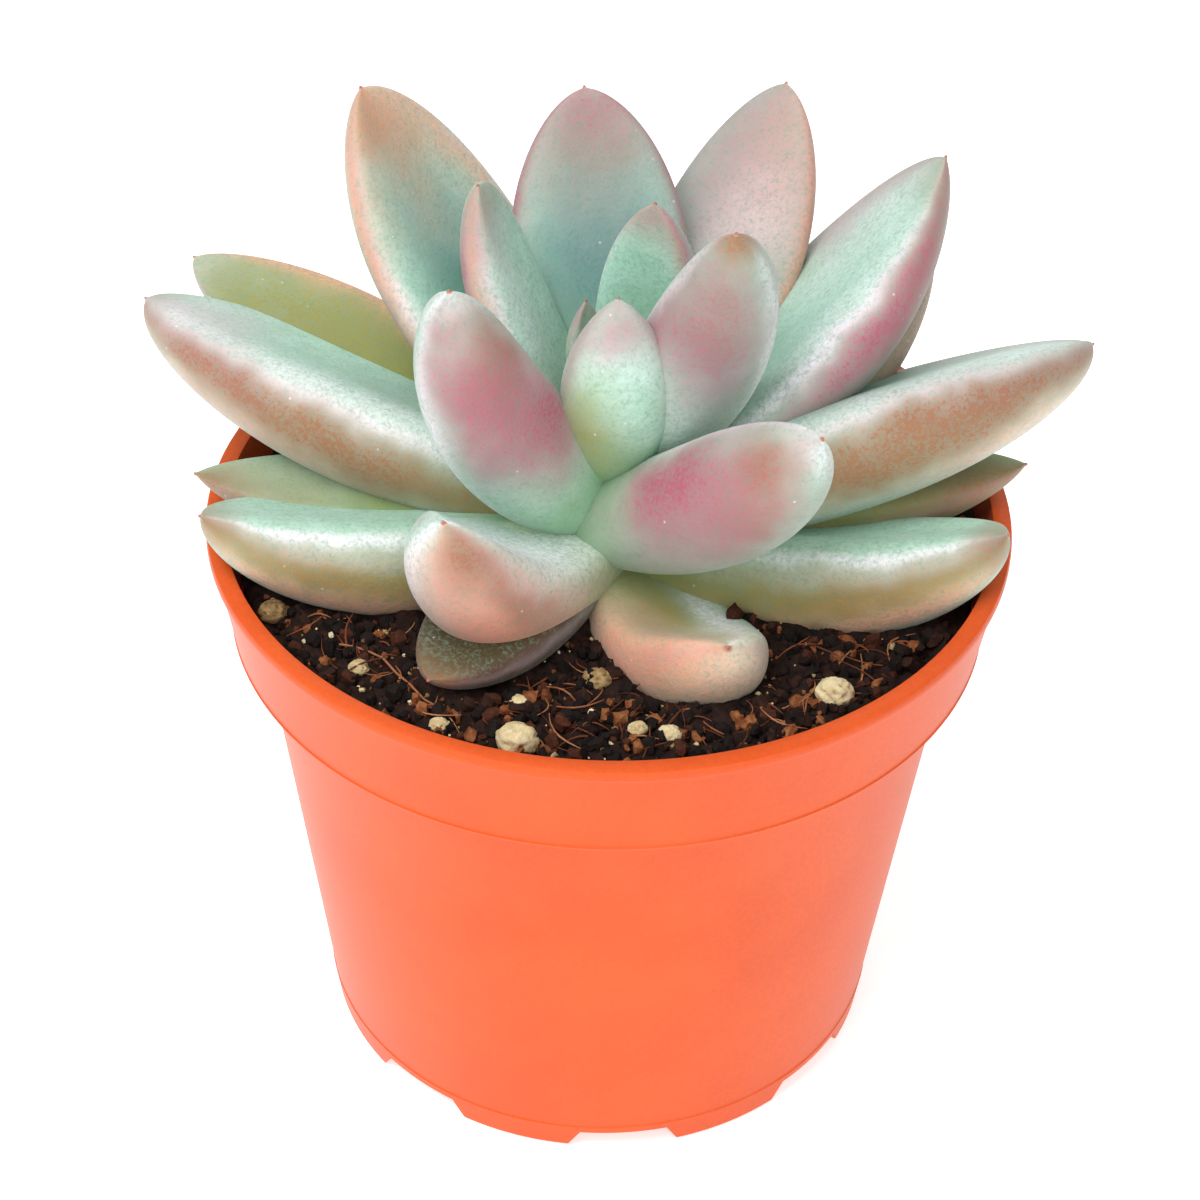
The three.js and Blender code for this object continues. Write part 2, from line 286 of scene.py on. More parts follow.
def cutNotch(piece, degrees):  # a bar across the foot ring, wider at the bottom
    selectNothing()
    middle = (pot["notchHeight"] / 2 - pot["barDrop"] / 2) * mm
    bpy.ops.mesh.primitive_cube_add(size=1, location=(pot["footRadius"] * mm, 0, middle))
    bar = startPiece("bar")
    size = (pot["barLength"] * mm, pot["notchTop"] * mm, (pot["notchHeight"] + pot["barDrop"]) * mm)
    bpy.ops.transform.resize(value=size, center_override=bar.location)
    pickVerts(bar, lambda co: co.z < 0)
    flare = pot["notchBottom"] / pot["notchTop"]
    bpy.ops.transform.resize(value=(1, flare * pot["notchSpare"], 1), center_override=bar.location)
    bpy.ops.mesh.select_all(action="SELECT")
    endPiece(bar)
    bar.data.transform(Matrix.Rotation(math.radians(degrees), 4, "Z"))
    cutPiece(piece, bar)


def makePot():
    profile = potProfile()
    piece = turnRing(profile, pot["sides"])
    startRadius, startHeight = profile[0][0] * mm, profile[0][1] * mm
    levelSlack, radiusSlack = 1e-6, 1.001

    def onFirstRing(co):
        level = abs(co.z + piece.location.z - startHeight) < levelSlack
        return level and math.hypot(co.x, co.y) < startRadius * radiusSlack

    pickVerts(piece, onFirstRing)
    bpy.ops.mesh.edge_face_add()
    bpy.ops.mesh.select_all(action="SELECT")
    bpy.ops.mesh.normals_make_consistent(inside=False)
    endPiece(piece)
    piece.name = "nurseryPot"
    for i in range(pot["notches"]):
        cutNotch(piece, pot["firstNotch"] + i * 360 / pot["notches"])
    holes = [(0, 0)]
    for i in range(pot["drains"]):
        angle = math.radians(pot["firstDrain"] + i * 360 / pot["drains"])
        holes.append((pot["drainRing"] * math.cos(angle), pot["drainRing"] * math.sin(angle)))
    for x, y in holes:
        selectNothing()
        bpy.ops.mesh.primitive_cylinder_add(
            vertices=pot["drainSides"], radius=pot["drainRadius"] * mm, depth=pot["drillLength"] * mm,
            location=(x * mm, y * mm, pot["drillMiddle"] * mm))
        cutPiece(piece, endPiece(startPiece("drill")))
    return piece


# Moulded polypropylene: satin, slightly milky, with the faint cloudiness and fine grain of a cheap mould.
potPlastic, tree, shader = startMaterial(
    "mouldedPolypropylene", Roughness=0.42, IOR=1.49, Specular_IOR_Level=0.22,
    Subsurface_Weight=0.04, Subsurface_Scale=0.004, Sheen_Weight=0.07, Sheen_Roughness=0.35)
place = addNode(tree, "TexCoord").outputs["Object"]
cloud = addNode(tree, "TexNoise", {"Scale": 45.0, "Detail": 3.0, "Roughness": 0.6}, {"Vector": place})
tone = addNode(tree, "ValToRGB", links={0: cloud.outputs[0]})
fillRamp(tone, [(0.3, "#d0501b"), (0.7, "#d85821")])
# The flecks are drawn 0.7 mm wide, as finer ones would not show.
fleck = addNode(tree, "TexNoise", {"Scale": 1500.0, "Detail": 2.0}, {"Vector": place})
fleckTone = addNode(tree, "ValToRGB", links={0: fleck.outputs[0]})
fillRamp(fleckTone, [(0.35, "#d8d8d8"), (0.65, "#ffffff")])
fleckMix = addNode(
    tree, "MixRGB", {"blend_type": "MULTIPLY", "Fac": 0.25}, {1: tone.outputs[0], 2: fleckTone.outputs[0]})
tree.links.new(fleckMix.outputs[0], shader.inputs["Base Color"])
fine = addNode(tree, "TexNoise", {"Scale": 2200.0, "Detail": 2.0}, {"Vector": place})
bump = addNode(tree, "Bump", {"Strength": 0.25, "Distance": 0.00004}, {"Height": fine.outputs[0]})
tree.links.new(bump.outputs[0], shader.inputs["Normal"])

potPiece = makePot()
finishPiece(potPiece, potPlastic, "pot_plastic", "pot", smoothAngle=pot["smoothAngle"])
print("pot:", len(potPiece.data.polygons), "faces")


# One leaf is modelled straight, then bent and painted for each place.
leafForm = {
    "rings": 22, "sides": 20, "crowding": 0.9, "pointRings": [0.9995, 1.3, 1.7, 1.95], "end": 2.0,
    "footWidth": 0.68, "footThickness": 0.7, "widestAt": 0.56, "thickestAt": 0.45,
    "upperShare": 0.34, "upperRound": 0.62, "lowerRound": 0.9, "channel": 0.12,
    "start": 1.5, "stemX": 0.0, "stemY": -4.5,
    "pointLength": 0.4, "pointRadius": 0.24, "pointFrom": 0.9, "pointFade": 0.1,
}

# tip, foot, width, thickness and sag are as in the CAD; sag is how far the middle hangs.
# roll turns a leaf about its own length, in degrees. sway bends its middle sideways, and aside moves its
# foot sideways. widestAt is the widest place, from 0 at the foot to 1 at the tip.
# A low blunt gives a round end, and a high one a pointed end.
# paint is (colour, strength, along, reach, round, reach). along runs from 0 at the stem to 1 at the tip.
# round is in degrees: 90 is the upper face, 270 the underside, 0 and 180 the margins.
leaves = [
    {"tip": (-3.5, -1, 114), "foot": 97, "width": 6, "thickness": 4, "sag": 1, "blunt": 0.8,
     "paint": [("olive", 0.5, 0.3, 0.5, 270, 200), ("rose", 0.6, 1, 0.25, 270, 200)]},
    {"tip": (24.6, -27, 112.7), "foot": 86.5, "width": 16.5, "thickness": 13, "sag": 3,
     "roll": -80, "aside": -4, "blunt": 0.55,
     "paint": [("mauve", 0.6, 0.62, 0.4, 265, 60), ("rose", 0.9, 0.5, 0.25, 320, 42),
               ("rose", 0.6, 0.68, 0.3, 280, 60), ("tan", 0.85, 0.88, 0.12, 295, 45),
               ("tan", 0.4, 0.75, 0.18, 255, 40), ("bloomAndHighlight", 0.8, 0.7, 0.5, 6, 12),
               ("bloomAndHighlight", 0.6, 1, 0.05, 270, 200)]},
    {"tip": (14, -12, 131), "foot": 93, "width": 16.5, "thickness": 12, "sag": 2,
     "sway": 3.5, "roll": -55, "widestAt": 0.45, "blunt": 0.6,
     "paint": [("mauve", 0.95, 0.7, 0.34, 285, 85), ("tan", 0.3, 0.82, 0.22, 285, 60),
               ("rose", 0.25, 0.72, 0.22, 300, 50), ("rose", 0.8, 0.5, 0.2, 345, 20),
               ("bloomAndHighlight", 0.6, 0.6, 0.5, 8, 12), ("bloomAndHighlight", 0.6, 0.6, 0.5, 208, 16),
               ("tan", 0.95, 1, 0.05, 270, 200), ("bloomAndHighlight", 0.3, 0.15, 0.3, 270, 80)]},
    {"tip": (-19.4, -15, 124), "foot": 87, "width": 17, "thickness": 14, "sag": 4,
     "roll": 50, "widestAt": 0.42, "blunt": 0.5,
     "paint": [("mauve", 0.8, 0.72, 0.24, 240, 60), ("rose", 0.65, 0.78, 0.2, 250, 60),
               ("tan", 0.5, 0.8, 0.16, 235, 40), ("rose", 0.85, 0.55, 0.18, 190, 36),
               ("rose", 0.35, 0.6, 0.16, 228, 50), ("tan", 0.65, 0.85, 0.13, 195, 25),
               ("rose", 0.45, 0.88, 0.12, 290, 30), ("bloomAndHighlight", 0.7, 0.6, 0.5, 315, 16),
               ("bloomAndHighlight", 0.45, 1, 0.05, 270, 200)]},
    {"tip": (0.4, -9.5, 120), "foot": 92, "width": 14, "thickness": 8, "sag": 3, "blunt": 0.7,
     "paint": [("rose", 0.6, 0.94, 0.16, 270, 90), ("bloomAndHighlight", 0.2, 0.84, 0.18, 270, 100),
               ("rose", 0.35, 0.75, 0.3, 345, 20), ("rose", 0.3, 0.75, 0.3, 200, 20),
               ("olive", 0.8, 0.42, 0.24, 312, 46), ("green", 0.3, 0.3, 0.2, 270, 90)]},
    {"tip": (4.7, 5, 124.5), "foot": 93, "width": 14, "thickness": 8, "sag": 3, "blunt": 0.7,
     "paint": [("green", 0.3, 0.45, 0.35, 80, 45), ("teal", 0.35, 0.5, 0.3, 90, 50),
               ("rose", 0.5, 0.75, 0.3, 10, 24), ("peach", 0.4, 0.7, 0.3, 20, 20),
               ("bloomAndHighlight", 0.6, 0.65, 0.5, 0, 14), ("bloomAndHighlight", 0.6, 0.65, 0.5, 178, 20),
               ("rose", 0.45, 0.97, 0.12, 90, 200), ("tan", 0.35, 1, 0.1, 90, 200)]},
    {"tip": (-17, 5, 126.5), "foot": 91, "width": 17, "thickness": 9, "sag": 4,
     "sway": -2.5, "roll": 20, "blunt": 0.58,
     "paint": [("rose", 0.85, 0.72, 0.26, 232, 24), ("peach", 0.7, 0.78, 0.24, 204, 22),
               ("bloomAndHighlight", 0.7, 0.5, 0.45, 183, 15), ("bloomAndHighlight", 0.35, 0.8, 0.2, 215, 20),
               ("tan", 0.5, 1, 0.1, 150, 200), ("rose", 0.3, 0.9, 0.12, 150, 100),
               ("bloomAndHighlight", 0.4, 0.55, 0.4, 130, 40)]},
    {"tip": (-4.6, 33, 125), "foot": 90, "width": 24, "thickness": 10, "sag": 4, "sway": -1, "blunt": 0.6,
     "paint": [("mauve", 0.5, 0.8, 0.2, 90, 70), ("rose", 0.65, 1, 0.15, 90, 300),
               ("tan", 0.3, 0.88, 0.14, 90, 60), ("rose", 0.7, 0.68, 0.3, 5, 22),
               ("rose", 0.75, 0.66, 0.3, 176, 22), ("teal", 0.9, 0.52, 0.26, 90, 64),
               ("bloomAndHighlight", 0.35, 0.18, 0.12, 80, 40)]},
    {"tip": (-33, 26, 128), "foot": 89, "width": 30, "thickness": 12, "sag": 5,
     "sway": -2.5, "roll": 16, "blunt": 0.62,
     "paint": [("peach", 0.8, 0.97, 0.2, 110, 100), ("tan", 0.5, 0.92, 0.18, 120, 60),
               ("peach", 0.75, 0.7, 0.26, 190, 16), ("peach", 0.6, 0.6, 0.4, 40, 16),
               ("bloomAndHighlight", 0.35, 0.55, 0.4, 28, 12), ("teal", 0.85, 0.5, 0.28, 108, 42),
               ("green", 0.3, 0.3, 0.2, 105, 30), ("bloomAndHighlight", 0.75, 0.4, 0.28, 178, 11),
               ("rose", 0.85, 0.42, 0.22, 218, 22), ("peach", 0.5, 0.35, 0.2, 202, 16)]},
    {"tip": (41.8, 22, 122.3), "foot": 87, "width": 36, "thickness": 14, "sag": 5,
     "sway": 1, "roll": -28, "blunt": 0.7,
     "paint": [("bloomAndHighlight", 0.85, 0.52, 0.45, 20, 10), ("bloomAndHighlight", 0.35, 0.55, 0.4, 38, 16),
               ("rose", 0.85, 0.6, 0.28, 352, 22), ("tan", 0.6, 0.82, 0.2, 345, 26),
               ("mauve", 0.5, 0.6, 0.35, 325, 30), ("rose", 0.45, 0.8, 0.3, 318, 40),
               ("bloomAndHighlight", 0.4, 0.5, 0.4, 298, 16), ("rose", 0.45, 0.8, 0.3, 140, 34),
               ("rose", 0.4, 0.5, 0.3, 155, 26), ("bloomAndHighlight", 0.35, 0.85, 0.25, 110, 50),
               ("teal", 0.3, 0.4, 0.25, 60, 30), ("tan", 0.5, 1, 0.08, 0, 200)]},
    {"tip": (22.2, 42, 121.4), "foot": 88, "width": 22, "thickness": 10, "sag": 4, "blunt": 0.65,
     "paint": [("mauve", 0.75, 0.75, 0.42, 90, 120), ("rose", 0.2, 0.9, 0.3, 90, 100),
               ("peach", 0.25, 0.85, 0.3, 60, 60), ("bloomAndHighlight", 0.35, 0.7, 0.13, 70, 35),
               ("bloomAndHighlight", 0.35, 0.5, 0.1, 110, 30), ("teal", 0.7, 0.28, 0.24, 90, 90),
               ("peach", 0.7, 0.6, 0.5, 5, 20)]},
    # Leaf 12's upper face is painted near white: wax bloom, and partly a painted highlight.
    {"tip": (-19.5, -29.5, 101), "foot": 85, "width": 20, "thickness": 16, "sag": 7, "blunt": 0.5,
     "paint": [("bloomAndHighlight", 1, 0.75, 0.6, 108, 50), ("bloomAndHighlight", 0.8, 0.85, 0.35, 305, 30),
               ("peach", 0.97, 0.65, 0.42, 230, 60), ("rose", 0.3, 0.75, 0.35, 245, 60),
               ("tan", 0.95, 0.94, 0.07, 210, 42), ("tan", 0.65, 0.75, 0.2, 194, 16),
               ("green", 0.6, 0.22, 0.2, 110, 90), ("olive", 0.35, 0.25, 0.2, 160, 50)]},
    {"tip": (-61, 15, 102.5), "foot": 86.5, "width": 29, "thickness": 16.5, "sag": 1.2,
     "roll": 24, "blunt": 0.55,
     "paint": [("bloomAndHighlight", 0.8, 0.5, 0.45, 168, 8), ("bloomAndHighlight", 0.5, 0.55, 0.4, 150, 18),
               ("bloomAndHighlight", 0.75, 0.95, 0.14, 130, 60), ("rose", 0.25, 0.85, 0.15, 110, 60),
               ("tan", 0.97, 0.72, 0.36, 190, 24), ("tan", 0.85, 0.42, 0.3, 197, 20),
               ("peach", 0.5, 0.65, 0.4, 220, 22), ("bloomAndHighlight", 0.3, 0.6, 0.5, 240, 20),
               ("rose", 0.2, 0.6, 0.5, 236, 28), ("olive", 0.8, 0.12, 0.2, 200, 35),
               ("tan", 0.5, 1, 0.06, 150, 200), ("teal", 0.2, 0.4, 0.25, 120, 30)]},
    {"tip": (61.8, 10.5, 102), "foot": 86.5, "width": 34, "thickness": 17, "sag": 0.3,
     "roll": -34, "blunt": 0.55,
     "paint": [("bloomAndHighlight", 0.8, 0.55, 0.45, 14, 8), ("bloomAndHighlight", 0.5, 0.6, 0.4, 32, 18),
               ("tan", 0.97, 0.72, 0.38, 350, 26), ("tan", 0.85, 0.45, 0.3, 338, 24),
               ("peach", 0.5, 0.75, 0.3, 312, 24), ("bloomAndHighlight", 0.3, 0.6, 0.5, 300, 20),
               ("olive", 0.8, 0.18, 0.22, 335, 40), ("rose", 0.25, 0.8, 0.3, 120, 40),
               ("bloomAndHighlight", 0.5, 0.88, 0.2, 80, 36), ("teal", 0.2, 0.45, 0.25, 50, 30),
               ("tan", 0.5, 1, 0.08, 0, 200)]},
    {"tip": (-57, 30.8, 99), "foot": 84.5, "width": 21, "thickness": 10, "sag": -1, "blunt": 0.65,
     "paint": [("olive", 0.95, 0.6, 0.7, 110, 150), ("green", 0.75, 0.3, 0.35, 120, 100),
               ("peach", 0.8, 0.6, 0.5, 25, 26), ("bloomAndHighlight", 0.2, 0.97, 0.08, 120, 100)]},
    {"tip": (42, 28, 106.5), "foot": 85, "width": 20, "thickness": 11, "sag": 5, "blunt": 0.75,
     "paint": [("olive", 0.7, 0.5, 0.8, 330, 150), ("peach", 0.5, 0.6, 0.5, 320, 80),
               ("bloomAndHighlight", 0.25, 0.8, 0.4, 330, 60)]},
    {"tip": (14.6, -34.5, 87), "foot": 82.5, "width": 20, "thickness": 14, "sag": 7,
     "roll": -12, "blunt": 0.4,
     "paint": [("bloomAndHighlight", 0.8, 0.7, 0.4, 118, 17), ("olive", 0.95, 0.5, 0.45, 80, 34),
               ("tan", 0.45, 0.6, 0.35, 50, 30), ("peach", 0.85, 0.7, 0.45, 0, 56),
               ("peach", 0.6, 1, 0.25, 300, 200), ("tan", 0.35, 0.8, 0.3, 330, 50),
               ("olive", 0.4, 0.3, 0.25, 0, 90)]},
    {"tip": (-51, -15, 90), "foot": 85, "width": 22.5, "thickness": 16, "sag": 3.8,
     "roll": 22, "blunt": 0.55,
     "paint": [("bloomAndHighlight", 0.75, 0.75, 0.42, 162, 8), ("olive", 1, 0.65, 0.6, 196, 30),
               ("tan", 0.3, 0.7, 0.3, 200, 14), ("peach", 0.7, 0.6, 0.5, 228, 20),
               ("olive", 0.6, 0.2, 0.3, 222, 50), ("tan", 0.7, 1, 0.06, 180, 300)]},
    {"tip": (49.6, -16, 91), "foot": 83, "width": 20, "thickness": 16.5, "sag": 4.9,
     "roll": -22, "blunt": 0.5,
     "paint": [("bloomAndHighlight", 0.7, 0.75, 0.42, 18, 8), ("olive", 1, 0.65, 0.6, 344, 30),
               ("tan", 0.3, 0.7, 0.3, 340, 14), ("peach", 0.7, 0.6, 0.5, 312, 20),
               ("olive", 0.6, 0.2, 0.3, 320, 50), ("tan", 0.6, 1, 0.06, 0, 300)]},
    # Leaves 20 to 22 follow. Their shade strokes are painted shade, where they lie low under other leaves:
    # over all of leaf 22, and near the foot of leaves 20 and 21.
    {"tip": (54, 3, 88), "foot": 84, "width": 15, "thickness": 11, "sag": 1, "blunt": 0.75,
     "paint": [("olive", 0.9, 0.5, 0.6, 40, 200), ("shade", 0.35, 0.25, 0.3, 0, 200),
               ("tan", 0.85, 0.9, 0.22, 30, 120), ("green", 0.6, 0.35, 0.25, 60, 120)]},
    {"tip": (-53.2, -3.5, 88), "foot": 84, "width": 15, "thickness": 10, "sag": 1, "blunt": 0.75,
     "paint": [("olive", 0.5, 0.6, 0.5, 140, 150), ("shade", 0.4, 0.2, 0.25, 180, 200),
               ("tan", 0.8, 0.95, 0.2, 150, 120), ("green", 0.9, 0.35, 0.25, 140, 130)]},
    {"tip": (-21.3, -36, 82), "foot": 83, "width": 17, "thickness": 10, "sag": 0, "blunt": 0.6,
     "paint": [("shade", 1, 0.5, 2, 150, 500), ("olive", 0.3, 0.5, 0.9, 90, 300),
               ("tan", 0.6, 1, 0.08, 150, 300)]},
    {"tip": (-23, 42, 107), "foot": 85, "width": 20, "thickness": 11, "sag": 4, "blunt": 0.7,
     "paint": [("rose", 0.5, 0.85, 0.3, 270, 90), ("peach", 0.3, 0.9, 0.2, 90, 90),
               ("teal", 0.4, 0.5, 0.25, 90, 50)]},
    {"tip": (9, 48, 101), "foot": 85, "width": 20, "thickness": 11, "sag": 4, "blunt": 0.7,
     "paint": [("rose", 0.45, 0.85, 0.3, 90, 110), ("peach", 0.35, 0.9, 0.25, 270, 80),
               ("teal", 0.3, 0.4, 0.25, 270, 60)]},
    {"tip": (-34, 34, 90), "foot": 84, "width": 18, "thickness": 11, "sag": 1, "blunt": 0.7,
     "paint": [("peach", 0.65, 0.9, 0.4, 100, 150), ("olive", 0.4, 0.4, 0.3, 270, 150)]},
    {"tip": (38, 28, 87), "foot": 84, "width": 17, "thickness": 9, "sag": 1, "blunt": 0.7,
     "paint": [("olive", 0.5, 0.8, 0.5, 90, 200), ("bloomAndHighlight", 0.4, 0.8, 0.3, 60, 60),
               ("tan", 0.3, 1, 0.15, 270, 200)]},
    {"tip": (-8, 47, 91), "foot": 83, "width": 17, "thickness": 11, "sag": 1, "blunt": 0.7,
     "paint": [("olive", 0.5, 0.8, 0.4, 270, 200), ("peach", 0.5, 0.9, 0.25, 270, 100)]},
]
# What every leaf has: white bloom on the margins, partly wax and partly a painted highlight; a faint rose
# edge; and darker, greener skin near the stem, partly the leaf's own green and partly painted shade where
# the leaf bases crowd.
commonPaint = [
    ("bloomAndHighlight", 0.2, 0.65, 0.5, 0, 9), ("bloomAndHighlight", 0.2, 0.65, 0.5, 180, 9),
    ("rose", 0.25, 0.9, 0.35, 0, 22), ("rose", 0.25, 0.9, 0.35, 180, 22),
    ("green", 0.8, 0.0, 0.32, 90, 400),
]


def modelStraightLeaf():  # a closed tube of unit radius along X: the tip is at 1, the small point past it
    rings = leafForm["rings"]
    stations = [math.sin(math.pi / 2 * (i / rings) ** leafForm["crowding"]) for i in range(rings)]
    stations += leafForm["pointRings"]
    selectNothing()
    bpy.ops.mesh.primitive_circle_add(
        vertices=leafForm["sides"], radius=1, location=(0, 0, 0), rotation=(0, math.pi / 2, 0))
    piece = startPiece("straightLeaf")
    for before, after in zip(stations, stations[1:]):
        bpy.ops.mesh.extrude_region_move(TRANSFORM_OT_translate={"value": (after - before, 0, 0)})
    last = leafForm["end"] - stations[-1]
    bpy.ops.mesh.extrude_region_move(TRANSFORM_OT_translate={"value": (last, 0, 0)})
    bpy.ops.mesh.merge(type="CENTER")
    endPiece(piece)
    bpy.ops.object.mode_set(mode="EDIT")
    slack = 1e-5
    pickVerts(piece, lambda co: co.x < slack)
    bpy.ops.mesh.edge_face_add()
    bpy.ops.mesh.poke()
    bpy.ops.mesh.select_all(action="SELECT")
    bpy.ops.mesh.normals_make_consistent(inside=False)
    bpy.ops.object.mode_set(mode="OBJECT")
    return piece


def share(along, footShare, peak, blunt):  # of the full width or thickness, at a place along the leaf
    rising = footShare + (1 - footShare) * np.sin(np.pi / 2 * np.minimum(along / peak, 1))
    past = np.clip((along - peak) / (1 - peak), 0, 1)
    return np.where(along < peak, rising, (1 - past ** 2) ** blunt)


def bendLeaf(straight, leaf):  # carries the straight leaf's vertices onto this leaf's own line and sections
    form = leafForm
    along = np.clip(straight[:, 0], 0, 1)
    beyond = np.clip(straight[:, 0] - 1, 0, 1)
    radius = np.hypot(straight[:, 1], straight[:, 2])
    angle = np.arctan2(straight[:, 2], straight[:, 1])
    across, lift = np.cos(angle), np.sin(angle)
    # the middle line: a curve from the foot to the tip
    tip = np.array(leaf["tip"], float)
    out = np.array([tip[0] - form["stemX"], tip[1] - form["stemY"], 0])
    out /= np.linalg.norm(out)
    sideways = np.cross(out, [0, 0, 1])
    stemPlace = np.array([form["stemX"], form["stemY"], leaf["foot"]])
    foot = stemPlace + out * form["start"] - sideways * leaf.get("aside", 0)
    run = (tip - foot) / np.linalg.norm(tip - foot)
    hang = np.cross(run, sideways) * 2 * leaf["sag"]
    middle = (foot + tip) / 2 + hang - sideways * 2 * leaf.get("sway", 0)
    t = along[:, None]
    centre = (1 - t) ** 2 * foot + 2 * t * (1 - t) * middle + t ** 2 * tip
    run = 2 * (1 - t) * (middle - foot) + 2 * t * (tip - middle)
    run /= np.linalg.norm(run, axis=1)[:, None]
    centre = centre + run * (beyond * form["pointLength"])[:, None]
    up = np.cross(np.broadcast_to(sideways, run.shape), run)
    up /= np.linalg.norm(up, axis=1)[:, None]
    side = np.cross(run, up)
    roll = math.radians(leaf.get("roll", 0))
    up, side = up * math.cos(roll) + side * math.sin(roll), side * math.cos(roll) - up * math.sin(roll)
    # the section: a shallow channel above, a deep round keel below, and the small point at the end
    fade = np.clip((along - form["pointFrom"]) / form["pointFade"], 0, 1)
    point = form["pointRadius"] * np.sqrt(np.clip(1 - beyond ** 2, 0, 1)) * fade
    widthShare = share(along, form["footWidth"], leaf.get("widestAt", form["widestAt"]), leaf["blunt"])
    depthShare = share(along, form["footThickness"], form["thickestAt"], leaf["blunt"])
    half = np.hypot(leaf["width"] / 2 * widthShare, point)
    deep = np.hypot(leaf["thickness"] * depthShare, 2 * point)
    hollow = form["channel"] * deep * (1 - across ** 2) ** 2
    rise = form["upperShare"] * deep * np.abs(lift) ** form["upperRound"] - hollow
    fall = -(1 - form["upperShare"]) * deep * np.abs(lift) ** form["lowerRound"]
    height = np.where(lift > 0, rise, fall)
    places = centre + side * (radius * half * across)[:, None] + up * (radius * height)[:, None]
    return places * mm, np.clip(straight[:, 0], 0, 2), radius * across, radius * lift


# Noise moves the edges of each stroke, in 8 mm blotches and 2 mm flecks. Moves along the leaf are shares
# of its length, and moves round it are in degrees.
brush = {
    "blotch": 130, "fleck": 420, "seedStep": (3.7, 1.3, 2.1),
    "alongBlotch": 0.09, "alongFleck": 0.03, "roundBlotch": 9, "roundFleck": 5,
    "freeReach": 5, "pointFade": 0.3,  # strokes shorter than 1 / freeReach drift less
    "seed": 1795151305,  # where the blotches fall: Blender takes the time of day if this isn't set
}
noise.seed_set(brush["seed"])


def paintLeaf(mesh, strokes, seed):
    along, across, lift = (readValues(mesh, name) for name in ("along", "across", "lift"))
    places = readPlaces(mesh)
    offset = Vector([seed * step for step in brush["seedStep"]])
    blotches = np.array([noise.noise_vector(Vector(p) * brush["blotch"] + offset) for p in places])
    flecks = np.array([noise.noise_vector(Vector(p) * brush["fleck"] + offset) for p in places])
    shift = brush["alongBlotch"] * blotches[:, 0] + brush["alongFleck"] * flecks[:, 0]
    angle = np.degrees(np.arctan2(lift, across))
    angle = angle + brush["roundBlotch"] * blotches[:, 1] + brush["roundFleck"] * flecks[:, 1]
    masks = {name: np.zeros(len(along)) for name in skinColours}
    for skinColour, strength, centre, reach, roundAt, roundReach in commonPaint + strokes:
        turnAway = (angle - roundAt + 180) % 360 - 180
        away = (along + shift * min(1, brush["freeReach"] * reach) - centre) / reach
        weight = strength * np.exp(-away ** 2 - (turnAway / roundReach) ** 2)
        masks[skinColour] = 1 - (1 - masks[skinColour]) * (1 - weight)
    masks["point"] = np.clip((along - 1.0) / brush["pointFade"], 0, 1)
    for name, values in masks.items():
        writeValues(mesh, name, values)


# Leaf skin under farina, the powdery wax of the plant: matt, pale and bluish where it is thick, with the
# rose, tan and olive of sun-stressed leaves grainy through it. The bloom colour is the wax's white and
# partly a painted highlight along margins and ridges; the shade colour is painted shade; the green near the
# stem is partly painted shade. Each colour has a mask of its name.
skinColours = {
    "teal": "#62918f", "green": "#63944c", "olive": "#918f46", "shade": "#40391a", "mauve": "#94797f",
    "bloomAndHighlight": "#f2f4f8", "peach": "#f0ab8a", "tan": "#966d45", "rose": "#aa586b", "point": "#b5685a",
}
leafSkin, tree, shader = startMaterial(
    "waxBloomedLeafSkin", Roughness=0.56, IOR=1.42, Subsurface_Weight=0.12, Subsurface_Scale=0.003,
    Sheen_Weight=0.12, Sheen_Roughness=0.5)
place = addNode(tree, "TexCoord").outputs["Object"]
# 4 mm cloudiness and 0.6 mm wax grain
mottle = addNode(tree, "TexNoise", {"Scale": 260.0, "Detail": 4.0, "Roughness": 0.6}, {"Vector": place})
grain = addNode(
    tree, "TexNoise", {"Scale": 1700.0, "Detail": 2.0, "Roughness": 0.7, "Distortion": 0.6},
    {"Vector": place})
base = addNode(tree, "ValToRGB", links={0: mottle.outputs[0]})
colour = fillRamp(base, [(0.3, "#a3d0b8"), (0.7, "#bae0cf")]).outputs[0]
for name, code in skinColours.items():
    mask = addNode(tree, "Attribute", {"attribute_name": name}).outputs["Fac"]
    breakup = addNode(
        tree, "MapRange", {"From Min": 0.3, "From Max": 0.7, "To Min": 0.72, "To Max": 1.28},
        {"Value": grain.outputs[0]})
    weight = addNode(
        tree, "Math", {"operation": "MULTIPLY", "use_clamp": True}, {0: mask, 1: breakup.outputs[0]})
    mix = addNode(tree, "MixRGB", {2: linearColour(code)}, {0: weight.outputs[0], 1: colour})
    colour = mix.outputs[0]
dust = addNode(tree, "ValToRGB", links={0: grain.outputs[0]})
fillRamp(dust, [(0.32, "#d4d4d4"), (0.5, "#f2f2f2"), (0.68, "#ffffff")])
dusted = addNode(
    tree, "MixRGB", {"blend_type": "MULTIPLY", "Fac": 0.85}, {1: colour, 2: dust.outputs[0]})
# a pale speck of loose wax every 4 mm or so
cells = addNode(tree, "TexVoronoi", {"Scale": 260.0}, {"Vector": place})
speck = addNode(
    tree, "MapRange", {"From Min": 0.03, "From Max": 0.06, "To Min": 0.35, "To Max": 0.0},
    {"Value": cells.outputs["Distance"]})
specked = addNode(
    tree, "MixRGB", {2: linearColour("#f4f6f8")}, {0: speck.outputs[0], 1: dusted.outputs[0]})
tree.links.new(specked.outputs[0], shader.inputs["Base Color"])
bump = addNode(tree, "Bump", {"Strength": 0.7, "Distance": 0.00012}, {"Height": grain.outputs[0]})
swell = addNode(
    tree, "Bump", {"Strength": 0.35, "Distance": 0.0005},
    {"Height": mottle.outputs[0], "Normal": bump.outputs[0]})
tree.links.new(swell.outputs[0], shader.inputs["Normal"])

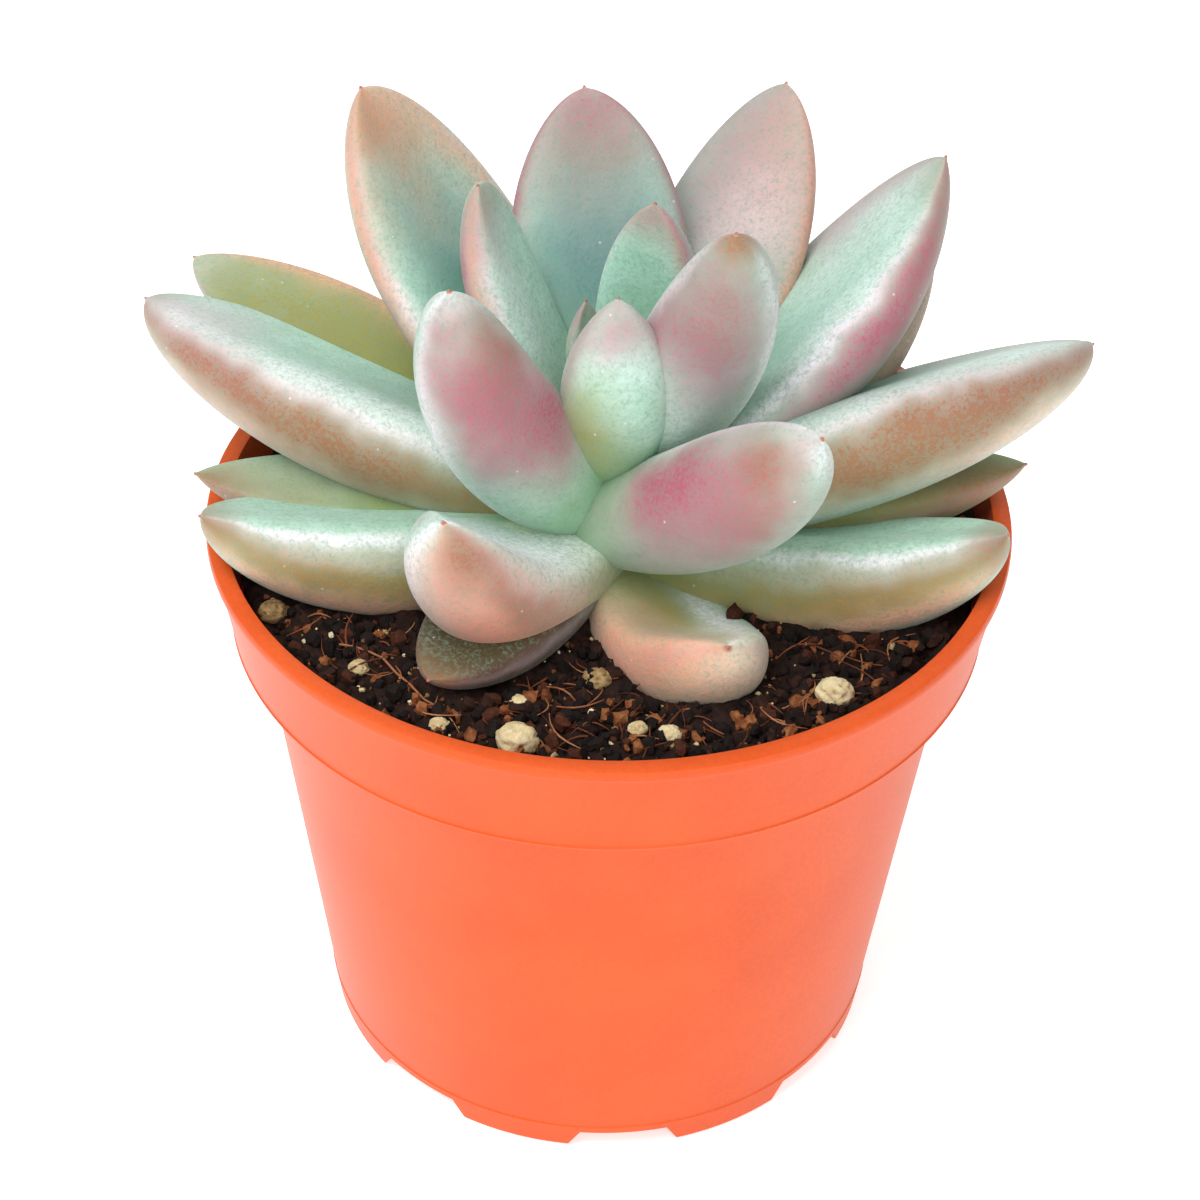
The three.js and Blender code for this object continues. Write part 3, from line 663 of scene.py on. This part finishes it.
straightLeaf = modelStraightLeaf()
straightPlaces = readPlaces(straightLeaf.data)
straightLeaf.data.flip_normals()  # the bend mirrors the leaf, so its faces start inside out
leafPieces = []
for number, leaf in enumerate(leaves, 1):
    piece = bpy.data.objects.new(f"leafSkin_{number:02d}", straightLeaf.data.copy())
    bpy.context.scene.collection.objects.link(piece)
    places, along, across, lift = bendLeaf(straightPlaces, leaf)
    writePlaces(piece.data, places)
    for name, values in (("along", along), ("across", across), ("lift", lift)):
        writeValues(piece.data, name, values)
    applyModifier(piece, "SUBSURF", levels=2, render_levels=2)
    paintLeaf(piece.data, leaf["paint"], number)
    finishPiece(piece, leafSkin, "leaf_skin", f"leaf_{number:02d}")
    leafPieces.append(piece)
bpy.data.objects.remove(straightLeaf)
print("leaves:", len(leaves))


# The stem is the CAD's short axis, smoothed. Only its crown shows between the leaves.
# Its bark is young: pale green with dry brown scars about 3 mm apart.
stemBark, tree, shader = startMaterial("greenSucculentBark", Roughness=0.7)
place = addNode(tree, "TexCoord").outputs["Object"]
scars = addNode(tree, "TexNoise", {"Scale": 350.0, "Detail": 4.0}, {"Vector": place})
tone = addNode(tree, "ValToRGB", links={0: scars.outputs[0]})
fillRamp(tone, [(0.35, "#6f7f45"), (0.6, "#9fae74"), (0.75, "#a98a5c")])
tree.links.new(tone.outputs[0], shader.inputs["Base Color"])
bump = addNode(tree, "Bump", {"Strength": 0.5, "Distance": 0.0004}, {"Height": scars.outputs[0]})
tree.links.new(bump.outputs[0], shader.inputs["Normal"])
nodes["stem"].data.materials.clear()
nodes["stem"].data.materials.append(stemBark)
stemPiece = bpy.data.objects.new("stemAxis", nodes["stem"].data.copy())
bpy.context.scene.collection.objects.link(stemPiece)
makeActive(stemPiece)
bpy.ops.object.mode_set(mode="EDIT")
bpy.ops.mesh.select_all(action="SELECT")
bpy.ops.mesh.remove_doubles(threshold=0.02 * mm)
bpy.ops.mesh.tris_convert_to_quads()
bpy.ops.object.mode_set(mode="OBJECT")
applyModifier(stemPiece, "SUBSURF", levels=2, render_levels=2)
finishPiece(stemPiece, stemBark, "stem_skin", "stem")
print("stem is smoothed")


# The potting mix is a lumpy bed with crumbs, coir fibres and pale bits on it.
bed = {
    "level": 79.0, "sink": 0.9, "heap": 1.4, "heapShare": 0.6, "heapRadius": 22.0,
    "edge": 49.0, "floor": 6.1, "cells": 196, "wallGap": 0.4, "shade": 0.16, "smoothAngle": 50,
    "lumps": ((5.0, 2.1), (2.2, 1.5), (1.0, 0.7)), "lumpMiddle": 0.6,  # size and depth
    "swell": 0.5, "swellSize": 9, "swellSlice": 3,
    "skirt": ((48.6, 48.0, 9.0), (48.0, 44.4, 0.8), (44.4, 40.6, 30.0), (40.6, 37.2, 32.0)),  # radii, depth
}


def bedHeight(x, y):  # the level, the heap towards the stem, lumps at three sizes and a wide swell
    radius = math.hypot(x, y)
    near = min(1.0, max(0.0, (bed["edge"] - radius) / (bed["edge"] - bed["heapRadius"])))
    height = bed["level"] - bed["sink"] + bed["heap"] * bed["heapShare"] * near
    for size, depth in bed["lumps"]:
        distances, _ = noise.voronoi(Vector((x / size, y / size, size)))
        height += depth * (bed["lumpMiddle"] - distances[0])
    wide = Vector((x / bed["swellSize"], y / bed["swellSize"], bed["swellSlice"]))
    return height + bed["swell"] * noise.noise(wide)


def makeBed():  # a round of the grid, its rim drawn to a circle, with a skirt down to the pot's base
    selectNothing()
    bpy.ops.mesh.primitive_grid_add(
        x_subdivisions=bed["cells"], y_subdivisions=bed["cells"], size=2 * bed["edge"] * mm,
        location=(0, 0, 0))
    piece = startPiece("mixBed")
    edge = bed["edge"] * mm
    cell = 2 * edge / bed["cells"]
    trimRadius, rimRadius = edge - 0.3 * cell, edge - 1.3 * cell  # the last ring of cells is the rim
    pickVerts(piece, lambda co: math.hypot(co.x, co.y) > trimRadius)
    bpy.ops.mesh.delete(type="VERT")
    bpy.ops.object.mode_set(mode="OBJECT")
    places = readPlaces(piece.data)
    radius = np.hypot(places[:, 0], places[:, 1])
    rim = radius > rimRadius
    places[rim, :2] *= ((edge - bed["wallGap"] * mm) / radius[rim])[:, None]
    for i, (x, y, _) in enumerate(places):
        places[i, 2] = bedHeight(x / mm, y / mm) * mm
    writePlaces(piece.data, places)
    bpy.ops.object.mode_set(mode="EDIT")
    bpy.ops.mesh.select_all(action="SELECT")
    bpy.ops.mesh.region_to_loop()
    for radiusBefore, radiusAfter, depth in bed["skirt"]:
        bpy.ops.mesh.extrude_region_move(TRANSFORM_OT_translate={"value": (0, 0, -depth * mm)})
        shrink = radiusAfter / radiusBefore
        bpy.ops.transform.resize(value=(shrink, shrink, 1), center_override=(0, 0, 0))
    bpy.ops.transform.resize(value=(1, 1, 0), center_override=(0, 0, bed["floor"] * mm))
    bpy.ops.mesh.edge_face_add()
    return endPiece(piece)


def mixMaterial(name, stops, roughness, depth):  # each piece's shade moves its colours along the stops
    material, tree, shader = startMaterial(name, Roughness=roughness, Specular_IOR_Level=0.25)
    place = addNode(tree, "TexCoord").outputs["Object"]
    patches = addNode(
        tree, "TexNoise", {"Scale": 900.0, "Detail": 5.0, "Roughness": 0.75}, {"Vector": place})
    shade = addNode(tree, "Attribute", {"attribute_name": "shade"}).outputs["Fac"]
    patchShare = 0.55
    total = addNode(
        tree, "Math", {"operation": "MULTIPLY_ADD", 1: patchShare}, {0: patches.outputs[0], 2: shade})
    tone = fillRamp(addNode(tree, "ValToRGB", links={0: total.outputs[0]}), stops)
    tree.links.new(tone.outputs[0], shader.inputs["Base Color"])
    bump = addNode(tree, "Bump", {"Strength": 0.8, "Distance": depth}, {"Height": patches.outputs[0]})
    tree.links.new(bump.outputs[0], shader.inputs["Normal"])
    return material


# Peat and bark, damp: near black with brown breaks. Coir: dry brown fibre. Pumice: cream, with dark pits.
peat = mixMaterial(
    "dampPeatAndBark",
    [(0.25, "#0a0402"), (0.42, "#1a0b05"), (0.62, "#44200f"), (0.8, "#7c4524"), (1.0, "#b07a4c")],
    0.8, 0.0004)
coir = mixMaterial("dryCoirFibre", [(0.2, "#3a1c10"), (0.6, "#7d4227"), (1.0, "#b9835a")], 0.7, 0.0001)
pumiceStone = mixMaterial(
    "porousPumice", [(0.25, "#4d3520"), (0.4, "#94794f"), (0.58, "#c9b587"), (0.9, "#efe6cb")], 0.9, 0.0003)

bedPiece = makeBed()
writeValues(bedPiece.data, "shade", np.full(len(bedPiece.data.vertices), bed["shade"]))
finishPiece(bedPiece, peat, "potting_mix", "potting_mix", smoothAngle=bed["smoothAngle"])
print("potting mix: bed")


# What lies loose on the bed. A size is smallest + spread * chance ** power, so most pieces are small.
crumb = {
    "count": 3400, "seed": 3, "reach": 47.6, "smallest": 0.22, "spread": 1.25, "power": 2.2,
    "flatter": (0.6, 1.0), "thinner": (0.5, 0.9), "above": 0.25,
    "shades": [0.0, 0.0, 0.05, 0.1, 0.18, 0.32, 0.55],
}
bit = {
    "count": 480, "seed": 8, "reach": 46.5, "smallest": 0.13, "spread": 0.45, "power": 2.4,
    "narrow": 0.8, "above": 0.6, "shades": (0.0, 0.5),
}
fibre = {
    "count": 380, "sides": 5, "cuts": 7, "reach": 45.0, "length": (2.0, 7.5), "thickness": (0.06, 0.14),
    "room": 0.3, "endShare": 0.35, "endCut": 0.03, "bow": (-0.3, 0.3), "bowMiddle": 0.6,
    "lift": (0.0, 0.12), "pitch": (-0.25, 0.3), "above": 0.45, "shades": (0.0, 0.6),
}
strand = {
    "startX": -33, "startY": -27, "runX": 13, "runY": -10, "wave": 1.6, "waves": 5,
    "thickness": 0.12, "above": 0.7, "shade": 0.45,
}
scatterSettings = {"seed": 11, "leafReach": 4, "smoothAngle": 30}


def modelCrumb(name, seed):  # a cube cut once each way, rounded and knocked about: 24 faces
    selectNothing()
    bpy.ops.mesh.primitive_cube_add(size=1.4, location=(0, 0, 0))
    piece = startPiece(name)
    bpy.ops.mesh.subdivide(number_cuts=1)
    bpy.ops.transform.tosphere(value=0.45)
    bpy.ops.transform.vertex_random(offset=0.38, seed=seed)
    return endPiece(piece)


def modelFibre(name):  # a thin strand of unit length and radius along X
    selectNothing()
    bpy.ops.mesh.primitive_circle_add(
        vertices=fibre["sides"], radius=1, location=(0, 0, 0), rotation=(0, math.pi / 2, 0),
        fill_type="NGON")
    piece = startPiece(name)
    for i in range(fibre["cuts"]):
        bpy.ops.mesh.extrude_region_move(TRANSFORM_OT_translate={"value": (1 / fibre["cuts"], 0, 0)})
    return endPiece(piece)


def scatter(name, model, makePlaces, count, material, slotName):  # copies of one model, joined as one piece
    base = readPlaces(model.data)
    faces = [list(face.vertices) for face in model.data.polygons]
    places, shades, allFaces = [], [], []
    for i in range(count):
        moved, shade = makePlaces(base.copy())
        allFaces += [[v + i * len(base) for v in face] for face in faces]
        places.append(moved)
        shades += [shade] * len(base)
    mesh = bpy.data.meshes.new(name)
    mesh.from_pydata(np.concatenate(places) * mm, [], allFaces)
    piece = bpy.data.objects.new(name, mesh)
    bpy.context.scene.collection.objects.link(piece)
    writeValues(mesh, "shade", shades)
    finishPiece(piece, material, slotName, smoothAngle=scatterSettings["smoothAngle"])
    bpy.data.objects.remove(model)


dice = random.Random(scatterSettings["seed"])
leafTrees = [BVHTree.FromObject(piece, bpy.context.evaluated_depsgraph_get()) for piece in leafPieces]


def placeOnBed(reach, room):  # a random spot clear of the leaves: room is how near, in mm, a leaf may come
    while True:
        radius, angle = reach * math.sqrt(dice.random()), dice.uniform(0, 2 * math.pi)
        x, y = radius * math.cos(angle), radius * math.sin(angle)
        spot = Vector((x, y, bedHeight(x, y) + room)) * mm
        for tree in leafTrees:
            skin, normal, _, distance = tree.find_nearest(spot, scatterSettings["leafReach"] * mm)
            if skin and (distance < room * mm or (spot - skin).dot(normal) < 0):
                break
        else:
            return x, y


def turnRandomly(places):
    fullTurn = 6.28
    spin = Euler([dice.uniform(0, fullTurn) for _ in range(3)]).to_matrix()
    return places @ np.array(spin).T


def crumbPlaces(places):
    size = crumb["smallest"] + crumb["spread"] * dice.random() ** crumb["power"]
    x, y = placeOnBed(crumb["reach"], size)
    places *= [size, size * dice.uniform(*crumb["flatter"]), size * dice.uniform(*crumb["thinner"])]
    moved = turnRandomly(places) + [x, y, bedHeight(x, y) + crumb["above"] * size]
    return moved, dice.choice(crumb["shades"])


def bitPlaces(places):
    size = bit["smallest"] + bit["spread"] * dice.random() ** bit["power"]
    x, y = placeOnBed(bit["reach"], size)
    places *= [size, size * bit["narrow"], size * bit["narrow"]]
    moved = turnRandomly(places) + [x, y, bedHeight(x, y) + bit["above"] * size]
    return moved, dice.uniform(*bit["shades"])


def fibrePlaces(places):  # bowed, a little lifted, and tapering at both ends
    length, thickness = dice.uniform(*fibre["length"]), dice.uniform(*fibre["thickness"])
    x, y = placeOnBed(fibre["reach"], fibre["room"] * length)
    along = places[:, 0].copy()
    inner = np.clip(along, fibre["endCut"], 1 - fibre["endCut"])
    taper = fibre["endShare"] + (1 - fibre["endShare"]) * np.sin(np.pi * inner)
    bow, lift = dice.uniform(*fibre["bow"]) * length, dice.uniform(*fibre["lift"]) * length
    heading, pitch = dice.uniform(0, 2 * math.pi), dice.uniform(*fibre["pitch"])
    forward = (along - 0.5) * length
    sideways = bow * (np.sin(np.pi * along) - fibre["bowMiddle"]) + places[:, 1] * thickness * taper
    upwards = lift * np.sin(np.pi * along) + forward * pitch + places[:, 2] * thickness * taper
    cosine, sine = math.cos(heading), math.sin(heading)
    east, north = forward * cosine - sideways * sine, forward * sine + sideways * cosine
    moved = np.column_stack([east, north, upwards]) + [x, y, bedHeight(x, y) + fibre["above"]]
    return moved, dice.uniform(*fibre["shades"])


def strandPlaces(places):  # one long thin root on top of the mix at the front left
    along = places[:, 0].copy()
    x = strand["startX"] + strand["runX"] * along
    y = strand["startY"] + strand["runY"] * along + strand["wave"] * np.sin(strand["waves"] * along)
    heights = np.maximum(np.array([bedHeight(*spot) for spot in zip(x, y)]), bed["level"])
    across, upwards = strand["thickness"] * places[:, 1], strand["thickness"] * places[:, 2]
    return np.column_stack([x + across, y + across, heights + strand["above"] + upwards]), strand["shade"]


scatter("mixCrumbs", modelCrumb("crumb", crumb["seed"]), crumbPlaces, crumb["count"], peat, "potting_mix")
scatter("coirFibres", modelFibre("fibre"), fibrePlaces, fibre["count"], coir, "potting_mix")
scatter("rootStrand", modelFibre("strand"), strandPlaces, 1, coir, "potting_mix")
scatter("paleBits", modelCrumb("bit", bit["seed"]), bitPlaces, bit["count"], pumiceStone, "pumice")
print("potting mix: crumbs, fibres and pale bits")


# Each pumice grain takes its place and size from its CAD grain. A higher shade is paler.
pumice = {
    "shades": [0.34, 0.36, 0.12, 0.36, 0.3, 0.34, 0.25, 0.08, 0.3, 0.28, 0.28], "seedStep": 5.1,
    "swells": ((0.16, 1.3), (0.05, 5)), "pits": ((1.0, 3.1, 0.2), (0.5, 6.3, 0.25)), "pitDepth": 0.9,
}


def modelGrain(node, number):  # an ico ball at the CAD grain's place, pitted and uneven
    low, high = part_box(node)
    centre, size = (low + high) / 2, (high - low) / 2
    selectNothing()
    bpy.ops.mesh.primitive_ico_sphere_add(subdivisions=4, radius=1, location=(0, 0, 0))
    piece = endPiece(startPiece(f"pumiceGrain_{number}"))
    places = readPlaces(piece.data)
    for i, direction in enumerate(places):
        spot = Vector(direction) + Vector((number * pumice["seedStep"], 0, 0))
        swell = sum(amount * noise.noise(spot * scale) for amount, scale in pumice["swells"])
        pit = 0.0
        for amount, scale, least in pumice["pits"]:
            pit += amount * max(0.0, noise.noise(spot * scale) - least)
        places[i] = direction * (1 + swell - pumice["pitDepth"] * pit)
    writePlaces(piece.data, places * np.array(size)[None, :] + np.array(centre)[None, :])
    return piece


for number, shade in enumerate(pumice["shades"], 1):
    piece = modelGrain(f"pumice_{number}", number)
    writeValues(piece.data, "shade", np.full(len(piece.data.vertices), shade))
    finishPiece(piece, pumiceStone, "pumice", f"pumice_{number}")
print("pumice grains:", len(pumice["shades"]))
